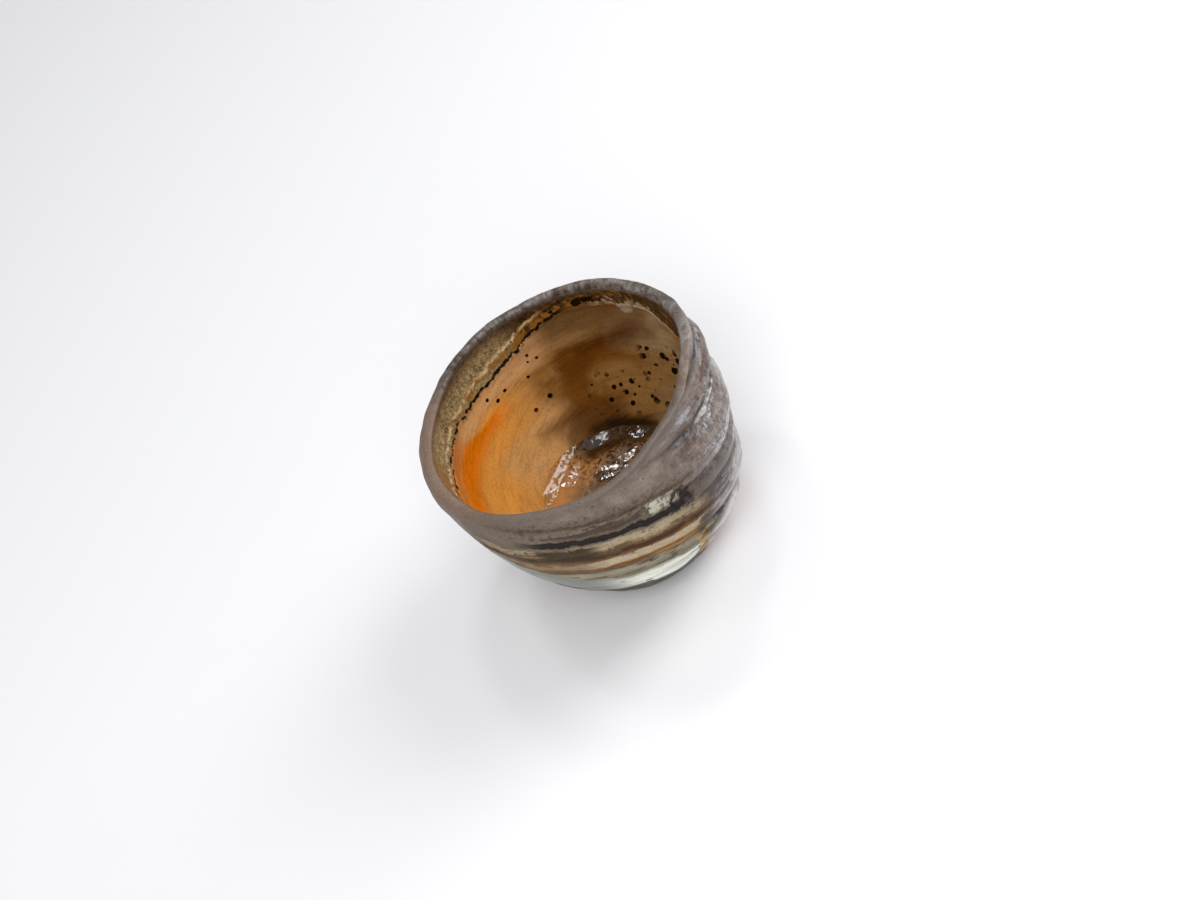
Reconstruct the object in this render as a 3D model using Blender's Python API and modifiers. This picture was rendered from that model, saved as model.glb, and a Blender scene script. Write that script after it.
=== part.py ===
"""Hand-thrown, wood-fired tea cup, standing upright on its foot ring.

The wall is thrown on a wheel and then twisted, so finger ridges wind down its outside.
It is a little oval, leans a little, and its lip rises and falls.
Coats of glaze and ash lie on it, a pool of glaze fills its well, and a foot ring carries it.
Units are metres, +Z is up, and the origin is on the table under the middle of the cup.
"""
import math

import bpy
from mathutils import Vector

MM = 0.001

# Overall sizes, with depths measured down from the mean height of the lip
CUP_HEIGHT = 60.0 * MM
RIM_RADIUS = 41.2 * MM
BELLY_SWELL = 2.3 * MM
BELLY_DEPTH = 12.6 * MM
BASE_RADIUS = 25.0 * MM

# Clay thickness
LIP_THICKNESS = 3.4 * MM
WALL_THICKNESS = 4.0 * MM
LIP_TAPER_DEPTH = 12.0 * MM
FLOOR_THICKNESS = 7.0 * MM
WELL_SHARPNESS = 12

# Foot ring
FOOT_HEIGHT = 3.0 * MM
FOOT_RADIUS = 19.5 * MM
FOOT_WIDTH = 4.5 * MM
FOOT_FLARE = 0.8 * MM
FOOT_CHAMFER = 0.6 * MM

# How the hand-formed wall departs from a turned one: lobes round the cup, amount, and the angle of a peak
RIM_WAVES = (
    (2, 3.2 * MM, math.radians(58)),
    (3, 2.1 * MM, math.radians(30)),
    (4, 0.8 * MM, math.radians(48)),
    (5, 0.3 * MM, math.radians(13)),
)
RISE_WAVES = (
    (2, 3.7 * MM, math.radians(-86)),
    (3, 1.0 * MM, math.radians(-17)),
)
BELLY_WAVES = (
    (2, 2.7 * MM, math.radians(-72)),
    (3, 1.6 * MM, math.radians(-10)),
)
LIP_WAVES = (
    (1, 0.45 * MM, math.radians(-83)),
    (2, 0.3 * MM, math.radians(87)),
    (4, 0.45 * MM, math.radians(34)),
    (5, 0.3 * MM, math.radians(17)),
    (6, 0.6 * MM, math.radians(-2)),
)
RIM_REACH = 28.8 * MM
RIM_FALLOFF = 1.5
RISE_FALLOFF = 2
SHOULDER_SHIFT = 4.0 * MM
SHOULDER_ANGLE = math.radians(130)
SHOULDER_DEPTH = 8.0 * MM
LIP_REACH = 7.0 * MM
LIP_FLARE = 3.4 * MM
FLARE_ANGLE = math.radians(180)
FLARE_NARROWING = 5.5
LEAN_X = 0.058
LEAN_Y = 0.039

# Finger ridges that wind down the outside: the width of each lobe in turn, and its share of the full height
RIDGE_HEIGHT = 3.3 * MM
RIDGE_LOBES = (
    (13.2 * MM, 0.84),
    (5.4 * MM, 0.52),
    (12.6 * MM, 0.81),
    (10.6 * MM, 1.03),
    (9.8 * MM, 1.02),
)
RIDGE_START = 14.7 * MM
RIDGE_ROUNDNESS = 0.8
RIDGE_SINK = 0.6
RIDGE_SWAY = 2.0 * MM
RIDGE_SWAY_ANGLE = math.radians(-80)
RIDGE_STRONG_ANGLE = math.radians(-4)
RIDGE_NARROWING = 2.2
RIDGE_FAINT_SHARE = 0.12
RIDGE_LIP_GAP = 1.9 * MM
RIDGE_FADE = 9.0 * MM

# Coats and pool
GLAZE_THICKNESS = 0.6 * MM
ASH_THICKNESS = 0.5 * MM
ASH_TOP_DEPTH = 2.4 * MM
GLAZE_LINE_DEPTH = 16.0 * MM
GLAZE_LINE_CLIMB = 7.8 * MM
GLAZE_CLIMB_STARTS = (math.radians(22), math.radians(42))
GLAZE_CLIMB_ENDS = (math.radians(74), math.radians(110))
POOL_THICKNESS = 4.5 * MM
POOL_MENISCUS = 0.5 * MM
POOL_SHORE_WIDTH = 1.5 * MM
POOL_CALM_FROM = 0.8
SKIRT_THICKNESS = 0.8 * MM
SKIRT_FROM = math.radians(-156)
SKIRT_TO = math.radians(-69)
SKIRT_TOP_DEPTH = 38.8 * MM
SKIRT_TOP_RISE = 26.0 * MM
SKIRT_LOW_DEPTH = 50.3 * MM
SKIRT_LOW_RISE = 21.0 * MM
SKIRT_TOP_BEND = 1.8
SKIRT_LOW_BEND = 1.6
SKIRT_END_SQUARENESS = 9
SKIRT_END_SHARE = 0.12

# Swell of the pool's surface: wavelength, heading of the wave, and height
POOL_WAVES = (
    (13.0 * MM, math.radians(15), 0.3 * MM),
    (16.0 * MM, math.radians(75), 0.3 * MM),
    (11.0 * MM, math.radians(120), 0.25 * MM),
    (14.0 * MM, math.radians(160), 0.25 * MM),
)

# Clearance left between pieces that touch
CLEARANCE = 0.3 * MM

# Mesh density
TURN_STEPS = 60
LIP_STEPS = 6
OUTER_POINTS = 48
ROWS_FOLLOW_WITHIN = math.radians(60)
ROWS_LEVEL_FROM = math.radians(120)
INNER_STEP = 4.0 * MM
INNER_CROWDING = 1.4
WELL_SHARES = (0.95, 0.87, 0.75, 0.6, 0.4, 0.2)
MERGE_DISTANCE = 0.01 * MM
POOL_RINGS = 9
SKIRT_STEPS = 20
SKIRT_ROWS = 6

# Sizes that follow from those above
BELLY_RADIUS = RIM_RADIUS + BELLY_SWELL
RIDGE_LEAD = sum(width for width, share in RIDGE_LOBES)
BASE_DEPTH = CUP_HEIGHT - FOOT_HEIGHT - CLEARANCE
FLOOR_DEPTH = BASE_DEPTH - FLOOR_THICKNESS
POOL_DEPTH = FLOOR_DEPTH - POOL_THICKNESS


# The turned shape

def outer_radius(depth):
    """Outside radius: two parabolas that meet at the belly."""
    if depth < BELLY_DEPTH:
        share = 1 - depth / BELLY_DEPTH
        return BELLY_RADIUS - BELLY_SWELL * share ** 2
    share = (depth - BELLY_DEPTH) / (BASE_DEPTH - BELLY_DEPTH)
    return BELLY_RADIUS - (BELLY_RADIUS - BASE_RADIUS) * share ** 2


def inner_radius(depth):
    """Inside radius: the wall's thickness in from the outside, rounding in to the well's floor."""
    taper = min(1.0, max(0.0, depth / LIP_TAPER_DEPTH))
    wall = LIP_THICKNESS + (WALL_THICKNESS - LIP_THICKNESS) * taper
    well = 1 - (max(0.0, depth) / FLOOR_DEPTH) ** WELL_SHARPNESS
    return (outer_radius(depth) - wall) * math.sqrt(max(0.0, well))


def inside_point(depth, gap):
    """A point (radius, depth) at a gap from the inside of the wall, square to it."""
    nudge = 0.05 * MM
    slope = (inner_radius(depth + nudge) - inner_radius(depth - nudge)) / (2 * nudge)
    length = math.hypot(1, slope)
    return inner_radius(depth) - gap / length, depth + gap * slope / length


def inside_depths(top, bottom):
    """Depths down the inside, closer together near the top and where the wall rounds in to the well."""
    def at_share(share):
        """Depth at which the well has rounded in to a share of the straight wall's radius."""
        return FLOOR_DEPTH * (1 - share ** 2) ** (1 / WELL_SHARPNESS)

    straight = max(0.0, min(at_share(WELL_SHARES[0]), bottom) - top)
    steps = math.ceil(straight / INNER_STEP)
    shares = [(step / steps) ** INNER_CROWDING for step in range(1, steps + 1)]
    depths = [top] + [top + straight * share for share in shares]
    rounded = [at_share(share) for share in WELL_SHARES[1:]]
    depths += [depth for depth in rounded if depths[-1] < depth < bottom - MERGE_DISTANCE]
    if depths[-1] < bottom - MERGE_DISTANCE:
        depths.append(bottom)
    return depths


# The hand-formed shape

def ridge_course(angle):
    """How far down the wall a ridge has wound at an angle."""
    turn = RIDGE_LEAD * angle / (2 * math.pi)
    return turn + RIDGE_SWAY * math.sin(2 * (angle - RIDGE_SWAY_ANGLE))


def lobe_height(along):
    """Share of the full height at a place across the ridges: rounded lobes with sharp notches between."""
    along = (along - RIDGE_START) % RIDGE_LEAD
    for width, share in RIDGE_LOBES:
        if along < width:
            return share * math.sin(math.pi * along / width) ** RIDGE_ROUNDNESS
        along -= width
    return 0.0


def ridge_strength(depth, angle):
    """Full height of the ridges, which are strongest on one side and fade at the lip and the base."""
    strength = (0.5 + 0.5 * math.cos(angle - RIDGE_STRONG_ANGLE)) ** RIDGE_NARROWING
    strength = RIDGE_FAINT_SHARE + (1 - RIDGE_FAINT_SHARE) * strength
    room = min(depth - RIDGE_LIP_GAP, BASE_DEPTH - depth)
    return RIDGE_HEIGHT * strength * min(1.0, max(0.0, room / RIDGE_FADE))


def ridge(depth, angle):
    """How far the ridged wall stands out from the turned one."""
    lobe = lobe_height(depth - ridge_course(angle))
    return ridge_strength(depth, angle) * (lobe - RIDGE_SINK)


def waves(table, angle):
    """Sum of waves round the cup."""
    return sum(amount * math.cos(lobes * (angle - peak)) for lobes, amount, peak in table)


def hand_formed(radius, depth, angle, ridges=ridge):
    """Where a turned point goes on the oval, leaning, wavy cup, with the origin under the lip."""
    below_lip = max(0.0, depth)
    near_rim = math.exp(-(below_lip / RIM_REACH) ** RIM_FALLOFF)
    oval = waves(RIM_WAVES, angle) * near_rim + waves(BELLY_WAVES, angle) * (1 - near_rim)
    along = below_lip / SHOULDER_DEPTH
    shoulder = SHOULDER_SHIFT * math.cos(angle - SHOULDER_ANGLE) * along * math.exp(1 - along)
    near_lip = math.exp(-below_lip / LIP_REACH)
    flare = LIP_FLARE * math.exp(FLARE_NARROWING * (math.cos(angle - FLARE_ANGLE) - 1)) * near_lip
    inner = inner_radius(min(depth, FLOOR_DEPTH))
    outside = min(1.0, max(0.0, (radius - inner) / (outer_radius(depth) - inner)))
    share = min(1.0, radius / outer_radius(depth))
    formed = radius + (oval + shoulder + flare) * share + ridges(depth, angle) * outside
    rise = waves(RISE_WAVES, angle) * max(0.0, 1 - below_lip / BASE_DEPTH) ** RISE_FALLOFF
    rise += waves(LIP_WAVES, angle) * near_lip
    x = formed * math.cos(angle) + LEAN_X * depth
    y = formed * math.sin(angle) + LEAN_Y * depth
    return Vector((x, y, CUP_HEIGHT - depth + rise * share))


def middle_of_cup():
    """Middle of the outside's extent in X and Y, which the origin lies under."""
    depths = [BASE_DEPTH * step / 60 for step in range(61)]
    angles = [2 * math.pi * step / 360 for step in range(360)]
    points = [hand_formed(outer_radius(depth), depth, angle) for depth in depths for angle in angles]
    low = Vector((min(p.x for p in points), min(p.y for p in points), 0))
    high = Vector((max(p.x for p in points), max(p.y for p in points), 0))
    return (low + high) / 2


MIDDLE = middle_of_cup()


def smooth(value, low, high):
    """0 below low, 1 above high and an S-curve between them."""
    share = min(1.0, max(0.0, (value - low) / (high - low)))
    return share * share * (3 - 2 * share)


def glaze_line_shift(angle):
    """Depth of the inside glaze's edge less its deepest level: it climbs towards the lip at the back."""
    return GLAZE_LINE_CLIMB * (smooth(angle, *GLAZE_CLIMB_ENDS) - smooth(angle, *GLAZE_CLIMB_STARTS))


# Scene helpers

def clear_scene():
    for obj in list(bpy.data.objects):
        bpy.data.objects.remove(obj, do_unlink=True)


def new_collection(name):
    collection = bpy.data.collections.new(name)
    bpy.context.scene.collection.children.link(collection)
    return collection


def new_material(name, colour, roughness):
    material = bpy.data.materials.new(name)
    material.use_nodes = True
    shader = material.node_tree.nodes["Principled BSDF"]
    shader.inputs["Base Color"].default_value = (*colour, 1)
    shader.inputs["Roughness"].default_value = roughness
    shader.inputs["Metallic"].default_value = 0
    return material


def turned(collection, name, profile, closed, sweep=2 * math.pi, steps=TURN_STEPS):
    """Turn a profile of (radius, depth) points about the cup's axis."""
    points = [(radius, 0, -depth) for radius, depth in profile]
    edges = [(index, index + 1) for index in range(len(points) - 1)]
    if closed:
        edges.append((len(points) - 1, 0))
    mesh = bpy.data.meshes.new(name)
    mesh.from_pydata(points, edges, [])
    obj = bpy.data.objects.new(name, mesh)
    collection.objects.link(obj)
    screw = obj.modifiers.new("turn", "SCREW")
    screw.angle = sweep
    screw.steps = steps
    screw.render_steps = steps
    screw.use_merge_vertices = True
    screw.merge_threshold = MERGE_DISTANCE
    return obj


def form(obj, placed):
    """Fix the turned mesh and move each of its points to where the potter's hand left it."""
    graph = bpy.context.evaluated_depsgraph_get()
    mesh = bpy.data.meshes.new_from_object(obj.evaluated_get(graph))
    obj.modifiers.clear()
    obj.data = mesh
    for vertex in mesh.vertices:
        radius = math.hypot(vertex.co.x, vertex.co.y)
        angle = math.atan2(vertex.co.y, vertex.co.x)
        vertex.co = placed(radius, -vertex.co.z, angle) - MIDDLE


def finish(obj, material, sharp_angle):
    obj.data.materials.clear()
    obj.data.materials.append(material)
    obj.data.shade_smooth()
    obj.data.set_sharp_from_angle(angle=math.radians(sharp_angle))


# The pieces

def row_slide(depth, angle):
    """How far down a row of the outer wall's points is slid, to run along the strong ridges."""
    away = abs(angle - RIDGE_STRONG_ANGLE)
    follow = 1 - smooth(away, ROWS_FOLLOW_WITHIN, ROWS_LEVEL_FROM)
    down = max(0.0, (depth - LIP_THICKNESS / 2) / (BASE_DEPTH - LIP_THICKNESS / 2))
    wound = ridge_course(angle) - ridge_course(RIDGE_STRONG_ANGLE)
    return wound * follow * math.sin(math.pi * down)


def along_ridges(radius, depth, angle):
    """Where a point of the body goes, with the outer wall's rows laid along the ridges."""
    if radius > outer_radius(depth) - MERGE_DISTANCE:
        depth += row_slide(depth, angle)
        radius = outer_radius(depth)
    return hand_formed(radius, depth, angle)


def make_cup_body(collection):
    """Thrown stoneware: floor, wall with finger ridges, and rounded lip."""
    half_lip = LIP_THICKNESS / 2
    inside = [(inner_radius(depth), depth) for depth in inside_depths(half_lip, FLOOR_DEPTH)]
    lip = []
    for step in range(1, LIP_STEPS):
        turn = math.pi * step / LIP_STEPS
        centre = outer_radius(half_lip) - half_lip
        lip.append((centre - half_lip * math.cos(turn), half_lip - half_lip * math.sin(turn)))
    drop = (BASE_DEPTH - half_lip) / (OUTER_POINTS - 1)
    depths = [half_lip + drop * step for step in range(OUTER_POINTS)]
    outside = [(outer_radius(depth), depth) for depth in depths]
    profile = list(reversed(inside)) + lip + outside + [(0, BASE_DEPTH)]
    body = turned(collection, "cup_body", profile, closed=False)
    form(body, along_ridges)
    finish(body, new_material("stoneware", (0.27, 0.22, 0.19), 0.62), sharp_angle=50)


def make_foot_ring(collection):
    """Turned ring luted under the body; its flat underside rests on the table."""
    top = BASE_DEPTH + CLEARANCE
    inner = FOOT_RADIUS - FOOT_WIDTH
    profile = [
        (FOOT_RADIUS + FOOT_FLARE, top),
        (FOOT_RADIUS, CUP_HEIGHT - FOOT_CHAMFER),
        (FOOT_RADIUS - FOOT_CHAMFER, CUP_HEIGHT),
        (inner + FOOT_CHAMFER, CUP_HEIGHT),
        (inner, CUP_HEIGHT - FOOT_CHAMFER),
        (inner - FOOT_FLARE, top),
    ]
    foot = turned(collection, "foot_ring", profile, closed=True)
    foot.location = Vector((LEAN_X * BASE_DEPTH, LEAN_Y * BASE_DEPTH, CUP_HEIGHT)) - MIDDLE
    finish(foot, new_material("bare_clay", (0.45, 0.22, 0.13), 0.8), sharp_angle=30)


def coat_profile(top, bottom, thickness):
    """Closed section of a coat that lies a clearance off the inside of the wall."""
    depths = inside_depths(top, bottom)
    back = [inside_point(depth, CLEARANCE) for depth in depths]
    face = [inside_point(depth, CLEARANCE + thickness) for depth in depths]
    return back + list(reversed(face))


def slid_down_wall(radius, depth, angle, share):
    """A coat's point moved down the wall by a share of the glaze line's sway there."""
    lower = depth + glaze_line_shift(angle) * share
    return hand_formed(radius + inner_radius(lower) - inner_radius(depth), lower, angle)


def make_liner_glaze(collection):
    """Glassy coat from the wavy glaze line down to the pool."""
    bottom = POOL_DEPTH - POOL_MENISCUS - CLEARANCE

    def placed(radius, depth, angle):
        share = min(1.0, max(0.0, (bottom - depth) / (bottom - GLAZE_LINE_DEPTH)))
        return slid_down_wall(radius, depth, angle, share)

    profile = coat_profile(GLAZE_LINE_DEPTH, bottom, GLAZE_THICKNESS)
    liner = turned(collection, "liner_glaze", profile, closed=True)
    form(liner, placed)
    finish(liner, new_material("amber_glaze", (0.42, 0.21, 0.08), 0.15), sharp_angle=40)


def make_rim_ash_band(collection):
    """Grainy ash crust on the inside of the lip, down to the glaze line."""
    bottom = GLAZE_LINE_DEPTH - CLEARANCE

    def placed(radius, depth, angle):
        share = min(1.0, max(0.0, (depth - ASH_TOP_DEPTH) / (bottom - ASH_TOP_DEPTH)))
        return slid_down_wall(radius, depth, angle, share)

    profile = coat_profile(ASH_TOP_DEPTH, bottom, ASH_THICKNESS)
    band = turned(collection, "rim_ash_band", profile, closed=True)
    form(band, placed)
    finish(band, new_material("ash_crust", (0.25, 0.2, 0.11), 0.7), sharp_angle=40)


def pool_swell(place):
    """Height of the set waves on the pool's surface."""
    total = 0.0
    for wavelength, heading, height in POOL_WAVES:
        travel = place.x * math.cos(heading) + place.y * math.sin(heading)
        total += height * math.sin(2 * math.pi * travel / wavelength)
    return total


def make_glaze_pool(collection):
    """Thick glass that ran down and set in waves, with a raised edge where it meets the wall."""
    edge = POOL_DEPTH - POOL_MENISCUS
    bottom = FLOOR_DEPTH - CLEARANCE
    wall = [inside_point(depth, CLEARANCE) for depth in inside_depths(edge, bottom - CLEARANCE)]
    wall = [(radius, min(depth, bottom)) for radius, depth in wall]
    shore = wall[0][0] - POOL_SHORE_WIDTH
    surface = [(shore * ring / POOL_RINGS, POOL_DEPTH) for ring in range(POOL_RINGS + 1)]

    def placed(radius, depth, angle):
        point = hand_formed(radius, depth, angle)
        if depth < POOL_DEPTH + MERGE_DISTANCE:
            point.z += pool_swell(point) * (1 - smooth(radius, POOL_CALM_FROM * shore, shore))
        return point

    profile = surface + wall + [(0, bottom)]
    pool = turned(collection, "glaze_pool", profile, closed=False)
    form(pool, placed)
    finish(pool, new_material("pooled_glass", (0.2, 0.12, 0.07), 0.06), sharp_angle=40)


def skirt_depth(across, down):
    """Depth on the lens of pale glaze: across runs along it, down from its top edge to its low edge."""
    top = SKIRT_TOP_DEPTH - SKIRT_TOP_RISE * (1 - across) ** SKIRT_TOP_BEND
    low = SKIRT_LOW_DEPTH - SKIRT_LOW_RISE * (1 - across) ** SKIRT_LOW_BEND
    round_end = math.sqrt(max(0.0, 1 - abs(2 * across - 1) ** SKIRT_END_SQUARENESS))
    half = (low - top) / 2 * max(SKIRT_END_SHARE, round_end)
    return (top + low) / 2 + half * (2 * down - 1)


def crest_level(depth, angle):
    """Level of the ridges' crests, which glaze that has filled the notches lies on."""
    return ridge_strength(depth, angle) * (1 - RIDGE_SINK)


def make_skirt_glaze(collection):
    """Lens of pale glaze that ran down the lower front and filled the notches there."""
    sweep = SKIRT_TO - SKIRT_FROM
    profile = [(BELLY_RADIUS, row / SKIRT_ROWS) for row in range(SKIRT_ROWS + 1)]
    skirt = turned(collection, "skirt_glaze", profile, closed=False, sweep=sweep, steps=SKIRT_STEPS)

    def placed(radius, down, angle):
        across = 0.5 - 0.5 * math.cos(math.pi * angle / sweep)
        depth = skirt_depth(across, down)
        radius = outer_radius(depth) + CLEARANCE
        return hand_formed(radius, depth, SKIRT_FROM + sweep * across, crest_level)

    form(skirt, placed)
    solidify = skirt.modifiers.new("thickness", "SOLIDIFY")
    solidify.thickness = SKIRT_THICKNESS
    solidify.offset = 1
    finish(skirt, new_material("pale_glaze", (0.55, 0.56, 0.5), 0.25), sharp_angle=40)


def main():
    clear_scene()
    cup = new_collection("tea_cup")
    make_cup_body(cup)
    make_foot_ring(cup)
    make_liner_glaze(cup)
    make_rim_ash_band(cup)
    make_glaze_pool(cup)
    make_skirt_glaze(cup)


main()
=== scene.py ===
"""Looks of the hand-thrown, wood-fired tea cup: fine meshes, fired surfaces, floor, light and camera.

Lengths in the shape functions are millimetres and depths run down from the mean height of the lip.
Angles run round the cup from +X; -90 degrees faces the camera.
"""
import math

import bpy
import numpy as np
from mathutils import Matrix, Vector


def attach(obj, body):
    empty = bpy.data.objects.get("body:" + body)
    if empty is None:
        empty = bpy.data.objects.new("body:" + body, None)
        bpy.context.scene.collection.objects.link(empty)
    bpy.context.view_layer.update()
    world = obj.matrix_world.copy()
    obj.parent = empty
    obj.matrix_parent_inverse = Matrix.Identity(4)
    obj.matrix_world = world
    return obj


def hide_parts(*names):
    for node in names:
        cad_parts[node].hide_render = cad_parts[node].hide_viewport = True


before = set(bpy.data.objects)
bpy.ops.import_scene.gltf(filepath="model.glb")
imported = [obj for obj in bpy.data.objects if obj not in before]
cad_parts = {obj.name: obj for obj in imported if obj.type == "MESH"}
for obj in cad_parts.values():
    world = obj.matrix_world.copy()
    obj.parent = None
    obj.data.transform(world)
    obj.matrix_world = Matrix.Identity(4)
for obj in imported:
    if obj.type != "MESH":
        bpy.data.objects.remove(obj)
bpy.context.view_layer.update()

# Units: a millimetre in metres, and a metre in millimetres
MM = 0.001
METRE = 1000

# Sizes of the cup, as in the solids
CUP_HEIGHT = 60.0
RIM_RADIUS = 41.2
BELLY_SWELL = 2.3
BELLY_DEPTH = 12.6
BASE_RADIUS = 25.0
LIP_THICKNESS = 3.4
WALL_THICKNESS = 4.0
LIP_TAPER_DEPTH = 12.0
FLOOR_THICKNESS = 7.0
POOL_THICKNESS = 4.5
WELL_SHARPNESS = 12
FOOT_HEIGHT = 3.0
FOOT_RADIUS = 19.5
FOOT_WIDTH = 4.5
FOOT_FLARE = 0.8
FOOT_ROUND = 0.9
CLEARANCE = 0.3
BELLY_RADIUS = RIM_RADIUS + BELLY_SWELL
BASE_DEPTH = CUP_HEIGHT - FOOT_HEIGHT - CLEARANCE
FLOOR_DEPTH = BASE_DEPTH - FLOOR_THICKNESS
POOL_DEPTH = FLOOR_DEPTH - POOL_THICKNESS

# How the wall departs from a turned one: lobes round the cup, amount, and the angle of a peak in degrees
RIM_WAVES = ((2, 3.2, 58), (3, 2.1, 30), (4, 0.8, 48), (5, 0.3, 13))
RIM_REACH = 28.8
RISE_WAVES = ((2, 3.7, -86), (3, 1.0, -17))
BELLY_WAVES = ((2, 2.7, -72), (3, 1.6, -10))
SHOULDER_SHIFT, SHOULDER_ANGLE, SHOULDER_DEPTH = 4.0, math.radians(130), 8.0
LEAN_X, LEAN_Y = 0.058, 0.039

# How the lip itself rises and falls, and where it flares
LIP_WAVES = ((1, 0.45, -83), (2, 0.3, 87), (4, 0.45, 34), (5, 0.3, 17), (6, 0.6, -2))
LIP_REACH = 7.0
LIP_FLARE, FLARE_ANGLE, FLARE_NARROWING = 3.4, math.radians(180), 5.5

# Finger ridges that wind down the outside: one lead a turn, with sharp notches between rounded lobes
RIDGE_HEIGHT = 3.3
RIDGE_WIDTHS = (13.2, 5.4, 12.6, 10.6, 9.8)
RIDGE_SHARES = (0.84, 0.52, 0.81, 1.03, 1.02)
RIDGE_START = 14.7
RIDGE_ROUNDNESS = 0.65
RIDGE_SINK = 0.6
RIDGE_SWAY, RIDGE_SWAY_ANGLE = 2.0, math.radians(-80)
RIDGE_STRONG_ANGLE = math.radians(-4)
RIDGE_NARROWING = 2.2
RIDGE_FAINT_SHARE = 0.12
RIDGE_LIP_GAP = 1.9
RIDGE_FADE = 9.0
RIDGE_LEAD = sum(RIDGE_WIDTHS)
RIDGE_NOTCHES = RIDGE_START + np.cumsum((0,) + RIDGE_WIDTHS)

# Swell of the pool's surface: wavelength, heading of the wave in degrees, and height
POOL_WAVES = ((13.0, 15, 0.3), (16.0, 75, 0.3), (11.0, 120, 0.25), (14.0, 160, 0.25))
POOL_RIPPLE = 0.12
MENISCUS_HEIGHT, MENISCUS_START = 1.5, 0.86

# Unevenness of the thrown clay: height, wavelength and seed of its lumps, and the fine rings of throwing
BODY_LUMPS = ((0.16, 14, 1), (0.07, 5, 2))
THROWING_RINGS, THROWING_RING_HEIGHT = 30, 0.05
TURNING_LINE_HEIGHT = 0.06

# How far each coat stands proud of the wall, how far its back lies under it, and how uneven its face is
LINER_PROUD, LINER_SINK, LINER_RIPPLE, LINER_BRUSHING = 0.28, 0.35, 0.05, 0.08
LINER_ROLL, LINER_ROLL_PLACE, LINER_ROLL_WIDTH = 0.12, 0.8, 0.6
ASH_TOP_DEPTH, ASH_OVERLAP = 1.4, 0.5
ASH_PROUD, ASH_EDGE_SINK, ASH_SINK, ASH_RIPPLE = 0.16, 0.06, 0.3, 0.05
SKIRT_PROUD, SKIRT_EDGE_SINK, SKIRT_SINK, SKIRT_RIPPLE = 0.45, 0.15, 0.5, 0.05

# Skirt of pale glaze on the lower front
SKIRT_FROM, SKIRT_TO = math.radians(-156), math.radians(-69)
SKIRT_TOP_DEPTH, SKIRT_TOP_RISE = 38.8, 26.0
SKIRT_LOW_DEPTH, SKIRT_LOW_RISE = 50.3, 21.0
SKIRT_END_SHARE = 0.02

# Edge of the inside glaze
GLAZE_LINE_DEPTH = 16.0
GLAZE_LINE_CLIMB = 7.8
GLAZE_LINE_COLOUR = (0.008, 0.005, 0.003)

# Camera, from the photograph in a frame of 1200 by 900
FRAME_SIZE = (1200, 900)
FOCAL_PIXELS = 2600
CAMERA_DISTANCE = 708.8
CAMERA_ELEVATION = math.radians(40.8)
CAMERA_ROLL = math.radians(29.6)
RIM_CENTRE_PIXEL = (561.4, 397.9)

# Mesh density: points round the cup, and rows of points down each piece
TURN = 480
WELL_ROWS, INSIDE_ROWS, OUTSIDE_ROWS, UNDER_ROWS = 24, 40, 190, 14
LINER_EDGE_ROWS, LINER_ROWS, ASH_ROWS = 16, 110, 70
POOL_ROWS, SHORE_ROWS, POOL_UNDER_ROWS = 60, 24, 20
SKIRT_ROWS, SKIRT_COLUMNS = 90, 190
RIPPLE_WAVES = 14

# Lights: name, place, target, size, power, and whether glossy surfaces mirror it
CUP_MIDDLE, FLOOR_FRONT = (0, 0, 0.03), (-0.12, -0.30, 0)
LIGHTS = (
    ("front_fill", (-0.18, -0.78, 0.72), CUP_MIDDLE, (0.8, 0.8), 7.0, False),
    ("floor_fill", (-0.12, -0.46, 0.56), FLOOR_FRONT, (0.4, 0.4), 0.75, False),
    ("right_key", (0.65, 0.10, 0.65), CUP_MIDDLE, (0.5, 0.5), 3.1, True),
    ("right_rim", (0.72, 0.28, 0.22), CUP_MIDDLE, (0.34, 0.20), 2.2, True),
    ("spark_right", (0.19, 0.42, 0.98), CUP_MIDDLE, (0.15, 0.20), 1.2, True),
    ("spark_left", (-0.19, 0.42, 0.98), CUP_MIDDLE, (0.15, 0.20), 1.2, True),
    ("spark_top", (-0.20, 0.0, 1.0), CUP_MIDDLE, (0.14, 0.24), 0.5, True),
)
SKY_COLOUR, SKY_STRENGTH = (0.98, 0.99, 1), 0.30

# Floor of white paper
FLOOR_REACH = 8.0
FLOOR_COLOUR, FLOOR_ROUGHNESS = (0.81, 0.81, 0.83), 0.9


def smooth(value, low, high):
    """0 below low, 1 above high and an S-curve between them."""
    share = np.clip((value - low) / (high - low), 0, 1)
    return share * share * (3 - 2 * share)


# Shape of the cup

def outer_radius(depth):
    above = BELLY_RADIUS - BELLY_SWELL * (1 - depth / BELLY_DEPTH) ** 2
    share = (depth - BELLY_DEPTH) / (BASE_DEPTH - BELLY_DEPTH)
    below = BELLY_RADIUS - (BELLY_RADIUS - BASE_RADIUS) * share ** 2
    return np.where(depth < BELLY_DEPTH, above, below)


def inner_radius(depth):
    taper = np.clip(depth / LIP_TAPER_DEPTH, 0, 1)
    wall = LIP_THICKNESS + (WALL_THICKNESS - LIP_THICKNESS) * taper
    well = 1 - (np.clip(depth, 0, FLOOR_DEPTH) / FLOOR_DEPTH) ** WELL_SHARPNESS
    return (outer_radius(depth) - wall) * np.sqrt(well)


def ridge_course(angle):
    """How far down the wall a ridge has wound at an angle."""
    turn = RIDGE_LEAD * angle / (2 * math.pi)
    return turn + RIDGE_SWAY * np.sin(2 * (angle - RIDGE_SWAY_ANGLE))


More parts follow.
